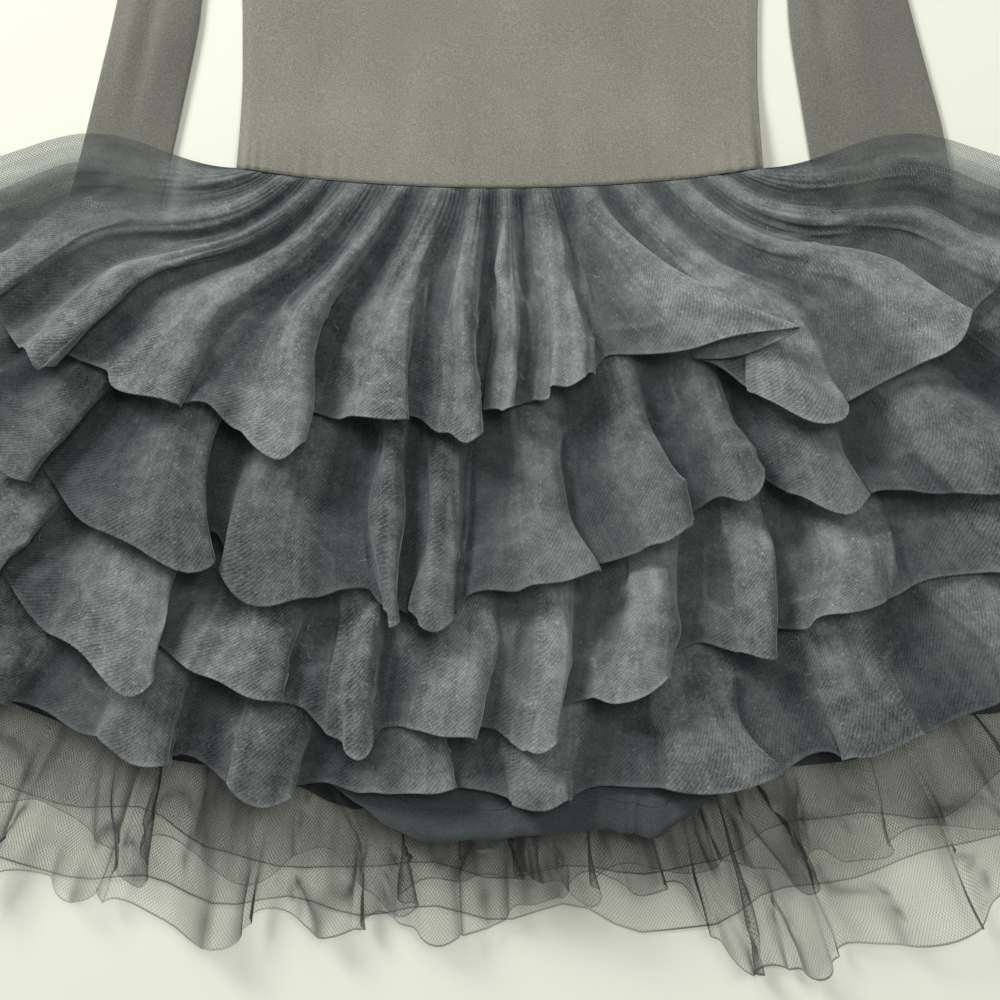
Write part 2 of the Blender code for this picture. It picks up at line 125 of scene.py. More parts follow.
tier3 = {
    "name": "tier_3", "seam": 0.150, "hem": 0.275, "span": 0.89, "seed": 33, "rows": 48, "foldPoints": 36,
    "gathers": 180, "gatherDepth": 0.0011, "streaks": 0.0019, "dents": 0.0024, "flutter": 0.0020, "powder": 1.08,
    "crumples": 54, "crumpleRise": 0.0017, "ragged": 0.0035, "loft": 1.2, **tierCloth,
    "creases": (
        (0.090, 0.02, 0.35, 0.95, 0.009, 0.0028), (0.181, 0.04, 0.40, 1.00, 0.007, -0.0030),
        (0.259, -0.02, 0.45, 0.90, 0.006, 0.0026), (0.334, 0.03, 0.50, 1.00, 0.009, 0.0034),
        (0.418, -0.03, 0.40, 0.85, 0.006, -0.0024), (0.497, 0.02, 0.45, 1.00, 0.010, 0.0032),
        (0.569, -0.02, 0.50, 0.95, 0.006, -0.0028), (0.652, 0.03, 0.40, 0.90, 0.008, 0.0026),
        (0.744, -0.04, 0.45, 1.00, 0.007, 0.0030), (0.857, 0.02, 0.40, 0.95, 0.009, -0.0026),
    ),
    "folds": [
        (-0.820, 0.275, -0.766, 0.270, 0.006, 70), (-0.680, 0.275, -0.628, 0.262, 0.010, 86),
        (-0.530, 0.262, -0.520, 0.248, 0.012, 88), (-0.362, 0.290, -0.372, 0.250, 0.016, 92),
        (-0.250, 0.276, -0.200, 0.272, 0.009, 86), (-0.148, 0.297, -0.125, 0.276, 0.013, 88),
        (-0.050, 0.286, 0.000, 0.278, 0.009, 84), (0.050, 0.296, 0.075, 0.268, 0.012, 88),
        (0.165, 0.268, 0.215, 0.240, 0.016, 92), (0.292, 0.256, 0.302, 0.236, 0.013, 88),
        (0.400, 0.246, 0.470, 0.236, 0.009, 84), (0.580, 0.262, 0.680, 0.254, 0.010, 84),
        (0.790, 0.272, 0.890, 0.275, 0.007, 70),
    ],
}
tier4 = {
    "name": "tier_4", "seam": 0.212, "hem": 0.303, "span": 0.845, "seed": 44, "rows": 40, "foldPoints": 36,
    "gathers": 190, "gatherDepth": 0.0010, "streaks": 0.0017, "dents": 0.0020, "flutter": 0.0020, "powder": 0.92,
    "crumples": 54, "crumpleRise": 0.0015, "ragged": 0.003, "loft": 1.2, **tierCloth,
    "creases": (
        (0.105, -0.02, 0.40, 1.00, 0.009, 0.0022), (0.214, 0.03, 0.45, 0.95, 0.007, -0.0022),
        (0.291, 0.02, 0.50, 1.00, 0.006, 0.0024), (0.383, -0.03, 0.45, 0.90, 0.008, 0.0026),
        (0.466, 0.02, 0.50, 1.00, 0.006, -0.0024), (0.558, 0.03, 0.45, 0.95, 0.009, 0.0022),
        (0.647, -0.02, 0.50, 1.00, 0.007, 0.0026), (0.761, 0.02, 0.40, 0.90, 0.008, -0.0022),
    ),
    "folds": [
        (-0.780, 0.303, -0.723, 0.300, 0.005, 70), (-0.650, 0.304, -0.588, 0.298, 0.008, 84),
        (-0.500, 0.310, -0.440, 0.300, 0.009, 86), (-0.350, 0.314, -0.310, 0.303, 0.009, 86),
        (-0.235, 0.324, -0.165, 0.306, 0.010, 88), (-0.065, 0.312, -0.040, 0.304, 0.009, 88),
        (0.040, 0.316, 0.110, 0.306, 0.010, 88), (0.215, 0.316, 0.290, 0.304, 0.009, 86),
        (0.365, 0.312, 0.440, 0.302, 0.010, 88), (0.525, 0.306, 0.588, 0.300, 0.008, 86),
        (0.660, 0.306, 0.723, 0.300, 0.007, 80), (0.790, 0.303, 0.845, 0.303, 0.005, 70),
    ],
}
slip = {
    "name": "slip", "seam": 0.0, "hem": 0.330, "span": 0.80, "seed": 55, "rows": 60, "foldPoints": 70,
    "gathers": 60, "gatherDepth": 0.0003, "streaks": 0.0004, "dents": 0.0010, "flutter": 0.0004, "side": 0.3,
    "sharpness": 5.0, "wander": 3, "crumples": 12, "crumpleRise": 0.0002, "ragged": 0.0008, "loft": 1.0, "lap": 1.0,
    "folds": [
        (-0.640, 0.318, -0.480, 0.296, 0.0008, 16), (-0.330, 0.294, -0.180, 0.304, 0.0008, 16),
        (-0.060, 0.334, 0.100, 0.328, 0.0008, 16), (0.160, 0.334, 0.290, 0.296, 0.0008, 16),
        (0.560, 0.300, 0.800, 0.330, 0.0008, 16),
    ],
}
netShort = {
    "name": "net_short", "seam": 0.212, "hem": 0.362, "span": 0.75, "seed": 66, "rows": 52, "foldPoints": 30,
    "side": 0.352, "crumples": 70, **netCloth,
    "creases": (
        (0.130, 0.02, 0.55, 1.00, 0.006, 0.0040), (0.268, -0.03, 0.50, 1.00, 0.005, -0.0030),
        (0.402, 0.02, 0.55, 1.00, 0.006, 0.0044), (0.547, -0.02, 0.50, 1.00, 0.005, 0.0036),
        (0.689, 0.03, 0.55, 1.00, 0.007, -0.0032), (0.823, 0.02, 0.50, 1.00, 0.006, 0.0040),
    ),
    "folds": [
        (-0.700, 0.362, -0.640, 0.352, 0.004, 70), (-0.570, 0.368, -0.555, 0.350, 0.006, 80),
        (-0.470, 0.354, -0.400, 0.344, 0.004, 64), (-0.330, 0.374, -0.318, 0.346, 0.006, 84),
        (-0.225, 0.362, -0.160, 0.338, 0.005, 76), (-0.095, 0.378, -0.080, 0.350, 0.006, 84),
        (0.000, 0.352, 0.030, 0.342, 0.005, 76), (0.095, 0.366, 0.105, 0.346, 0.006, 84),
        (0.190, 0.352, 0.215, 0.346, 0.005, 70), (0.265, 0.372, 0.280, 0.350, 0.006, 84),
        (0.350, 0.362, 0.385, 0.352, 0.005, 76), (0.460, 0.370, 0.475, 0.350, 0.006, 84),
        (0.560, 0.358, 0.600, 0.350, 0.005, 76), (0.660, 0.368, 0.690, 0.358, 0.005, 76),
        (0.720, 0.362, 0.750, 0.362, 0.003, 60),
    ],
}
netLong = {
    "name": "net_long", "seam": 0.212, "hem": 0.390, "span": 0.70, "seed": 77, "rows": 56, "foldPoints": 28,
    "side": 0.382, "crumples": 76, **netCloth,
    "creases": (
        (0.098, -0.02, 0.55, 1.00, 0.006, 0.0036), (0.233, 0.03, 0.60, 1.00, 0.005, 0.0042),
        (0.371, 0.02, 0.55, 1.00, 0.006, -0.0030), (0.509, -0.03, 0.60, 1.00, 0.005, 0.0040),
        (0.642, 0.02, 0.55, 1.00, 0.007, 0.0044), (0.795, -0.02, 0.60, 1.00, 0.005, -0.0032),
    ),
    "folds": [
        (-0.650, 0.390, -0.610, 0.386, 0.004, 64), (-0.560, 0.396, -0.510, 0.388, 0.005, 76),
        (-0.450, 0.402, -0.410, 0.382, 0.005, 80), (-0.350, 0.386, -0.325, 0.380, 0.004, 76),
        (-0.235, 0.397, -0.200, 0.374, 0.005, 80), (-0.145, 0.384, -0.110, 0.372, 0.004, 76),
        (-0.050, 0.386, -0.010, 0.376, 0.005, 80), (0.040, 0.364, 0.085, 0.352, 0.004, 76),
        (0.130, 0.364, 0.165, 0.358, 0.004, 70), (0.200, 0.409, 0.225, 0.402, 0.005, 84),
        (0.270, 0.416, 0.300, 0.398, 0.005, 80), (0.375, 0.413, 0.420, 0.400, 0.005, 80),
        (0.480, 0.402, 0.540, 0.392, 0.004, 76), (0.590, 0.394, 0.640, 0.388, 0.004, 70),
        (0.670, 0.390, 0.700, 0.390, 0.003, 60),
    ],
}
rings = [netLong, netShort, slip, tier4, tier3, tier2, tier1]  # from the innermost out


def ramp(value, start, full):
    share = np.clip((value - start) / (full - start), 0, 1)
    return share * share * (3 - 2 * share)


def blendCells(grid, row, column, down, right):
    upper = grid[row, column] * (1 - right) + grid[row, column + 1] * right
    lower = grid[row + 1, column] * (1 - right) + grid[row + 1, column + 1] * right
    return upper * (1 - down) + lower * down


def softNoise(across, down, cellsAcross, cellsDown, seed):  # smooth hills from -1 to 1
    heights = np.random.default_rng(seed).uniform(-1, 1, (cellsDown + 2, cellsAcross + 2))
    x = np.clip(across, 0, 1) * cellsAcross
    y = np.clip(down, 0, 1) * cellsDown
    column = np.minimum(x.astype(int), cellsAcross - 1)
    row = np.minimum(y.astype(int), cellsDown - 1)
    return blendCells(heights, row, column, ramp(y - row, 0, 1), ramp(x - column, 0, 1))


def ringPattern(ring, kind, across, down):
    cellsAcross, cellsDown, seedStep = patterns[kind]
    return softNoise(across, down, cellsAcross, cellsDown, ring["seed"] + seedStep)


def ridges(across, down, cellsAcross, cellsDown, seed, thinness):  # thin wandering lines as 1
    hills = softNoise(across, down, cellsAcross, cellsDown, seed)
    return np.clip(1 - np.abs(hills) * thinness, 0, 1) ** 1.5


def fanPoint(along, radius):
    angle = skirt["sideAngle"] * (skirt["evenFan"] * along + (1 - skirt["evenFan"]) * along ** skirt["fanPower"])
    bulge = np.sin(np.pi * np.clip(radius / skirt["puffRadius"], 0, 1)) ** 2
    puff = skirt["sidePuff"] * bulge * np.abs(along) ** skirt["puffPower"]
    x = skirt["halfWaist"] * along + radius * np.sin(angle)
    y = skirt["waistRise"] * along ** 2 - radius * np.cos(angle) + puff
    return x, y


def arcLengths(radius):
    along = np.linspace(-1, 1, 401)
    x, y = fanPoint(along, radius)
    return along, np.concatenate([[0.0], np.cumsum(np.hypot(np.diff(x), np.diff(y)))])


spacedAlong, spacedLengths = arcLengths(skirt["spacingRadius"])
spacedShares = 2 * spacedLengths / spacedLengths[-1] - 1


def sharePoint(share, radius):
    spaced = np.interp(share, spacedShares, spacedAlong)
    crowd = ramp(radius, skirt["crowdStart"], skirt["crowdFull"])
    return fanPoint(share + (spaced - share) * crowd, radius)


def liftOverSleeves(x, y):
    return (sleeveLift["height"] * ramp(np.abs(x), sleeveLift["startX"], sleeveLift["fullX"])
            * ramp(y, sleeveLift["startY"], sleeveLift["fullY"]))


def foldSection(turn, points):  # one fold, valley to valley
    phase = np.linspace(0, 2 * np.pi, 12 * points + 1)
    slope = turn * np.sin(phase)
    step = phase[1]
    across = np.concatenate([[0.0], np.cumsum((np.cos(slope[1:]) + np.cos(slope[:-1])) * step / 2)])
    height = np.concatenate([[0.0], np.cumsum((np.sin(slope[1:]) + np.sin(slope[:-1])) * step / 2)])
    picked = np.arange(points) * 12
    return across[picked] / across[-1], height[picked] / height.max()


def foldRow(ring, down):  # shares, radii, heights over the floor, crests
    span = ring["span"]
    valleys = [-span] + [fold[2] for fold in ring["folds"]]
    sideReach = ring.get("side", ring["hem"])
    reaches = [sideReach] + [fold[3] for fold in ring["folds"]]
    even = np.linspace(-span, span, len(valleys))
    laid = down ** ring["lap"]
    shares, radii, heights, crests = [], [], [], []
    for index, (crest, crestReach, valley, valleyReach, tall, turn) in enumerate(ring["folds"]):
        opened = math.radians(turn) * (skirt["seamTurn"] + (1 - skirt["seamTurn"]) * down ** skirt["turnPower"])
        across, height = foldSection(opened, ring["foldPoints"])
        low, high = valleys[index], valleys[index + 1]
        seamLow = low * 0.6 + even[index] * 0.4
        seamHigh = high * 0.6 + even[index + 1] * 0.4
        atSeam = seamLow + across * (seamHigh - seamLow)
        atHem = low + across * (high - low) + (crest - (low + high) / 2) * height
        shares.append(atSeam * (1 - laid) + atHem * laid)
        before = np.linspace(0, 1, ring["foldPoints"], endpoint=False) < 0.5
        beside = np.where(before, reaches[index], reaches[index + 1])
        near = np.where(before, across, 1 - across) * 2
        reach = beside + (crestReach - beside) * np.clip(near, 0, 1)
        radii.append(ring["seam"] + (reach - ring["seam"]) * down)
        heights.append(ring["loft"] * tall * height * down ** ring.get("rise", skirt["risePower"]))
        crests.append(height)
    shares.append([span])
    radii.append([ring["seam"] + (sideReach - ring["seam"]) * down])
    heights.append([0.0])
    crests.append([0.0])
    radii = np.concatenate(radii)
    wide = np.concatenate([radii[:1]] * 3 + [radii] + [radii[-1:]] * 3)
    rounded = np.convolve(wide, np.array([1, 2, 3, 4, 3, 2, 1]) / 16, mode="valid")
    return np.concatenate(shares), rounded, np.concatenate(heights), np.concatenate(crests)


def covers(ring, radius):
    return ring["seam"] <= radius <= ring["hem"]


def backHeight(ring, radius):
    outside = rings[rings.index(ring) + 1:]
    return skirt["plyPitch"] * sum(covers(other, radius) for other in outside)


def middleHeight(radius):
    present = [ring for ring in rings if covers(ring, radius)] or rings[:1]
    return backHeight(present[0], radius) + skirt["halfHollow"]


def sideClosing(shares, span):
    inside = np.clip(np.abs(shares) / span, 0, 1)
    return (1 - inside ** skirt["sideSquareness"]) ** (1 / skirt["sideSquareness"])


def emptyTops():  # what the next ring lies on
    return np.zeros((plan["radii"], plan["shares"]))


def raiseTops(tops, shares, radii, heights):
    row = np.clip(np.rint(radii / plan["step"]).astype(int), 0, plan["radii"] - 1)
    column = np.clip(np.rint((shares + 1) / 2 * (plan["shares"] - 1)).astype(int), 0, plan["shares"] - 1)
    np.maximum.at(tops, (row.ravel(), column.ravel()), heights.ravel())


def shifted(grid, reach, axis, combine):  # each cell with those up to reach away
    widths = [(0, 0), (0, 0)]
    widths[axis] = (reach, reach)
    wide = np.pad(grid, widths, mode="edge")
    parts = [np.take(wide, range(offset, offset + grid.shape[axis]), axis=axis) for offset in range(2 * reach + 1)]
    return combine(np.array(parts), axis=0)


def bridged(tops):  # as cloth would span them
    for axis in (0, 1):
        tops = shifted(tops, plan["widen"], axis, np.max)
    for axis in (0, 1, 0, 1):
        tops = shifted(tops, plan["soften"], axis, np.mean)
    return tops


def readGrid(grid, shares, radii):
    row = np.clip(radii / plan["step"], 0, plan["radii"] - 1.001)
    column = np.clip((shares + 1) / 2 * (plan["shares"] - 1), 0, plan["shares"] - 1.001)
    top, left = row.astype(int), column.astype(int)
    return blendCells(grid, top, left, row - top, column - left)


def pressed(heights):  # cloth bears down where it is piled high
    room = skirt["pressEnd"] - skirt["pressStart"]
    over = np.maximum(heights - skirt["pressStart"], 0)
    return np.minimum(heights, skirt["pressStart"]) + room * (1 - np.exp(-over / room))


def gridNormals(points):  # rows run down, columns to the right
    downwards = np.gradient(points, axis=0)
    sideways = np.gradient(points, axis=1)
    normals = np.cross(downwards, sideways)
    return normals / np.maximum(np.linalg.norm(normals, axis=2, keepdims=True), 1e-9)


def creaseDepth(across, down, creases):  # place, lean, from, to, width, depth
    depth = np.zeros_like(across)
    for place, lean, start, end, width, height in creases:
        offset = (across - place - lean * (down - start)) / width
        run = ramp(down, start - 0.08, start + 0.08) * (1 - ramp(down, end - 0.10, end + 0.10))
        depth += height * np.exp(-offset * offset) * run
    return depth


def ringFront(ring, under, tops, middles):
    span, form = ring["span"], ringShape
    downs = np.linspace(0, 1, ring["rows"]) ** form["rowPower"]
    rows = [foldRow(ring, down) for down in downs]
    shares, radii, tall, crests = (np.array([row[part] for row in rows]) for part in range(4))
    down = np.repeat(downs[:, None], shares.shape[1], axis=1)
    order = np.linspace(0, 1, shares.shape[1])[None, :] + 0 * down
    inside = 1 - (np.abs(2 * order - 1)) ** 10
    shares = shares + form["sway"] * ringPattern(ring, "sway", order, down) * down * inside
    shares = np.clip(shares, -span, span)
    radii = radii + ring["ragged"] * ringPattern(ring, "ragged", order, down) * down * inside
    radii = radii + seamGap * (down == 0)
    middle = np.interp(radii, skirt["stations"], middles)
    beneath = readGrid(under, shares, radii)
    floor = np.maximum(middle + skirt["halfHollow"], beneath + plan["layer"])
    z = middle + np.maximum(sideClosing(shares, span) * (floor + tall - middle), skirt["halfHollow"])
    x, y = sharePoint(shares, radii)
    points = np.stack([x, y, z], axis=2)
    edge = ramp(order, 0.0, form["edge"]) * (1 - ramp(order, 1 - form["edge"], 1.0))
    beat = 2 * np.pi * ring["gathers"] * order + form["beatSway"] * ringPattern(ring, "beat", order, down)
    uneven = form["evenShare"] + form["unevenShare"] * ringPattern(ring, "uneven", order, down)
    fade = np.exp(-form["gatherFade"] * down) * ramp(down, 0.0, form["gatherStart"])
    push = ring["gatherDepth"] * uneven * np.sin(beat) * fade
    push += ring["streaks"] * ringPattern(ring, "streaks", order, down) * down ** 0.5
    push += ring["dents"] * ringPattern(ring, "dents", order, down) * down
    flap = 2 * np.pi * form["flaps"] * order + form["flapSway"] * ringPattern(ring, "flap", order, down)
    push += ring["flutter"] * np.sin(flap) * ramp(down, form["flapStart"], 1.0)
    push += creaseDepth(order, down, ring.get("creases", []))
    crumple = ridges(order, down, ring["crumples"], ring["wander"], ring["seed"] + 9, ring["sharpness"])
    crumple = crumple * ramp(down, form["crumpleStart"], form["crumpleFull"])
    push += ring["crumpleRise"] * crumple
    points = points + gridNormals(points) * (push * edge)[:, :, None]
    points[:, :, 2] = pressed(points[:, :, 2])
    low = middle + skirt["halfHollow"] * sideClosing(shares, span)
    low = np.maximum(low, beneath + plan["clear"] * plan["layer"])
    points[:, :, 2] = np.maximum(points[:, :, 2], low * edge + points[:, :, 2] * (1 - edge))
    raiseTops(tops, shares, radii, points[:, :, 2])
    points[:, :, 2] += liftOverSleeves(points[:, :, 0], points[:, :, 1])
    # for the tiers the crest mask becomes painted light on fold crests and crumple ridges and painted shade in the
    # valleys; for the nets it sets extra thread density
    crests = np.clip(crests + form["crumpleCrest"] * crumple, 0, form["crestTop"])
    if ring["name"].startswith("net"):
        steep = 1 - np.abs(gridNormals(points)[:, :, 2])
        crests = np.clip(crumple * form["netCrumple"] + steep * form["netSteep"], 0, 1)
    return points, downs, crests


roll = ((0.0006, 0.0003), (0.0008, -0.0004), (0.0002, -0.0009), (-0.0022, -0.0009))  # out and up, for each row


def rolledHem(points, downs, crests):  # adds a soft folded edge
    outwards = points[-1] - points[-2]
    outwards[:, 2] = 0
    outwards /= np.maximum(np.linalg.norm(outwards, axis=1, keepdims=True), 1e-6)
    rows = []
    for out, up in roll:
        row = points[-1] + outwards * out
        row[:, 2] = np.maximum(row[:, 2] + up, 0.0)
        rows.append(row)
    extra = len(rows)
    return (np.concatenate([points, np.array(rows)]), np.concatenate([downs, np.ones(extra)]),
            np.concatenate([crests, np.repeat(crests[-1:], extra, axis=0)]))


def ringBack(ring, middles, downs):
    turns = np.linspace(np.pi / 2, -np.pi / 2, ringShape["backColumns"])
    shares = ring["span"] * np.sin(turns)
    backs = [backHeight(ring, radius) for radius in skirt["stations"]]
    rows = []
    ends = (np.abs(shares) / ring["span"]) ** 6
    wavy = ringPattern(ring, "back", (shares / ring["span"] + 1) / 2, 0 * shares)
    inner = ring["hem"] - ringShape["backShort"] + ringShape["backWaves"] * wavy
    reach = ring.get("side", ring["hem"]) * ends + (1 - ends) * inner
    for down in downs:
        radii = ring["seam"] + (reach - ring["seam"]) * down + seamGap * (down == 0)
        middle = np.interp(radii, skirt["stations"], middles)
        depth = middle - np.interp(radii, skirt["stations"], backs)
        z = middle - np.maximum(sideClosing(shares, ring["span"]) * depth, skirt["halfHollow"])
        x, y = sharePoint(shares, radii)
        rows.append(np.stack([x, y, z + liftOverSleeves(x, y)], axis=1))
    return np.array(rows)


def addObject(name, data):
    piece = bpy.data.objects.new(name, data)
    bpy.context.collection.objects.link(piece)
    return piece


def addMesh(name, points, closed, material, uvs=None, masks=None, wall=0.0):  # a wall goes on the inner side
    rowCount, columnCount = points.shape[:2]
    last = columnCount if closed else columnCount - 1
    row, column = np.meshgrid(np.arange(rowCount - 1), np.arange(last), indexing="ij")
    beside = (column + 1) % columnCount
    faces = np.stack([row * columnCount + column, (row + 1) * columnCount + column,
                      (row + 1) * columnCount + beside, row * columnCount + beside], axis=2).reshape(-1, 4)
    mesh = bpy.data.meshes.new(name)
    placed = points.reshape(-1, 3) + np.array([waistX, waistY, 0.0])
    mesh.from_pydata(placed.tolist(), [], faces.tolist())
    for label, values in (("cloth", uvs), ("fold", masks)):
        if values is None:
            continue
        across, down = values
        around = ((row, column), (row + 1, column), (row + 1, column + 1), (row, column + 1))
        corners = np.stack([grid[place] for place in around for grid in (across, down)], axis=2).reshape(-1)
        layer = mesh.uv_layers.new(name=label)
        layer.data.foreach_set("uv", corners)
    mesh.materials.append(material)
    mesh.shade_smooth()
    piece = addObject(name, mesh)
    if wall > 0:
        solidify = piece.modifiers.new("wall", "SOLIDIFY")
        solidify.thickness = wall
        solidify.offset = -1.0
        makePlain(piece)
    return piece


def makePlain(piece):  # modifiers into the mesh
    graph = bpy.context.evaluated_depsgraph_get()
    mesh = bpy.data.meshes.new_from_object(piece.evaluated_get(graph), depsgraph=graph)
    piece.modifiers.clear()
    old = piece.data
    mesh.name = old.name
    piece.data = mesh
    bpy.data.meshes.remove(old)


def clothUv(points, closed):  # metres, as the cloth was cut
    hem = points[-1]
    steps = np.linalg.norm(np.diff(hem, axis=0), axis=1)
    if closed:
        steps = np.append(steps, np.linalg.norm(hem[0] - hem[-1]))
    along = np.concatenate([[0.0], np.cumsum(steps)])
    drop = np.linalg.norm(np.diff(points, axis=0), axis=2).mean(axis=1)
    down = np.concatenate([[0.0], np.cumsum(drop)])
    across, downs = np.meshgrid(along, down)
    return across, downs


def newGroup(name, kind, inputs, outputs):
    group = bpy.data.node_groups.new(name, kind)
    for label, socketKind, value in inputs:
        socket = group.interface.new_socket(name=label, in_out="INPUT", socket_type=socketKind)
        if value is not None:
            socket.default_value = value
    for label, socketKind in outputs:
        group.interface.new_socket(name=label, in_out="OUTPUT", socket_type=socketKind)
    return group, group.nodes.new("NodeGroupInput"), group.nodes.new("NodeGroupOutput")


def setInputs(tree, node, inputs):  # an input is a value or a socket to link
    for label, value in inputs.items():
        if isinstance(value, bpy.types.NodeSocket):
            tree.links.new(value, node.inputs[label])
        else:
            node.inputs[label].default_value = value


def addNode(tree, kind, inputs, **settings):
    node = tree.nodes.new(kind)
    for label, value in settings.items():
        setattr(node, label, value)
    setInputs(tree, node, inputs)
    return node


def mathNode(tree, operation, *values):
    return addNode(tree, "ShaderNodeMath", dict(enumerate(values)), operation=operation).outputs[0]


def times(tree, first, second):
    return mathNode(tree, "MULTIPLY", first, second)


def plus(tree, first, second):
    return mathNode(tree, "ADD", first, second)


def timesPlus(tree, first, second, added):
    return mathNode(tree, "MULTIPLY_ADD", first, second, added)


def mapRange(tree, value, low, high, toLow=0.0, toHigh=1.0):
    given = {"Value": value, "From Min": low, "From Max": high, "To Min": toLow, "To Max": toHigh}
    return addNode(tree, "ShaderNodeMapRange", given, interpolation_type="SMOOTHSTEP").outputs["Result"]


def mixColour(tree, share, first, second):
    given = {"Factor": share, "A": first, "B": second}
    return addNode(tree, "ShaderNodeMix", given, data_type="RGBA").outputs["Result"]


def noise(tree, vector, scale, detail):
    return addNode(tree, "ShaderNodeTexNoise", {"Vector": vector, "Scale": scale, "Detail": detail}).outputs["Fac"]


def separate(tree, vector):
    return addNode(tree, "ShaderNodeSeparateXYZ", {0: vector}).outputs


def uvMap(tree, label):
    return addNode(tree, "ShaderNodeUVMap", {}, uv_map=label).outputs["UV"]


def objectPlace(tree):
    return tree.nodes.new("ShaderNodeTexCoord").outputs["Object"]


def hexThreads():  # three sets of waves make six-sided cells
    inputs = [("Vector", "NodeSocketVector", None), ("Cell", "NodeSocketFloat", 0.002),
              ("Thread", "NodeSocketFloat", -0.6), ("Soft", "NodeSocketFloat", 0.35)]
    group, given, result = newGroup("hexThreads", "ShaderNodeTree", inputs, [("Threads", "NodeSocketFloat")])
    split = separate(group, given.outputs["Vector"])
    pitch = mathNode(group, "DIVIDE", 2 * math.pi * 2 / math.sqrt(3), given.outputs["Cell"])
    x = times(group, split["X"], pitch)
    y = times(group, split["Y"], pitch)
    half = times(group, x, 0.5)
    slant = times(group, y, math.sqrt(3) / 2)
    waves = mathNode(group, "COSINE", x)
    for turned in ("ADD", "SUBTRACT"):
        waves = plus(group, waves, mathNode(group, "COSINE", mathNode(group, turned, half, slant)))
    low = mathNode(group, "SUBTRACT", given.outputs["Thread"], given.outputs["Soft"])
    high = plus(group, given.outputs["Thread"], given.outputs["Soft"])
    group.links.new(mapRange(group, waves, low, high, 1.0, 0.0), result.inputs["Threads"])
    return group


def dustMask():  # soft patches and fine specks
    inputs = [("Patch Scale", "NodeSocketFloat", 14.0), ("Speck Scale", "NodeSocketFloat", 560.0)]
    outputs = [("Dust", "NodeSocketFloat"), ("Specks", "NodeSocketFloat")]
    group, given, result = newGroup("dustMask", "ShaderNodeTree", inputs, outputs)
    place = objectPlace(group)
    patches = noise(group, place, given.outputs["Patch Scale"], 2.0)
    specks = noise(group, place, given.outputs["Speck Scale"], 1.0)
    group.links.new(mapRange(group, patches, 0.38, 0.68), result.inputs["Dust"])
    group.links.new(mapRange(group, specks, 0.66, 0.74), result.inputs["Specks"])
    return group


hexGroup = hexThreads()
dustGroup = dustMask()


def useGroup(tree, group, **values):
    return addNode(tree, "ShaderNodeGroup", values, node_tree=group)


def bumpNormal(tree, height, strength, distance):
    given = {"Strength": strength, "Distance": distance, "Height": height}
    return addNode(tree, "ShaderNodeBump", given).outputs["Normal"]


def newMaterial(name):
    material = bpy.data.materials.new(name)
    material.use_nodes = True
    return material, material.node_tree, material.node_tree.nodes["Principled BSDF"]


# the pale tulle colour is both the dust and the painted light on the fold crests; shadeEnd and shadeLow set the
# painted shade near the seam
tulleLook = {
    "dark": (0.005, 0.0075, 0.010, 1.0), "dustAndShading": (0.232, 0.260, 0.255, 1.0), "hemBand": 0.0075,
    "cell": 0.0014, "holeAlpha": 0.86, "threadAlpha": 0.99, "sheen": 0.5,
    "sheerX": (0.146, 0.185), "sheerY": (-0.045, 0.014), "sheer": 0.86,
    "shadeEnd": 0.34, "shadeLow": 0.80, "mottle": 110.0, "rows": 260.0, "speck": 0.42,
}


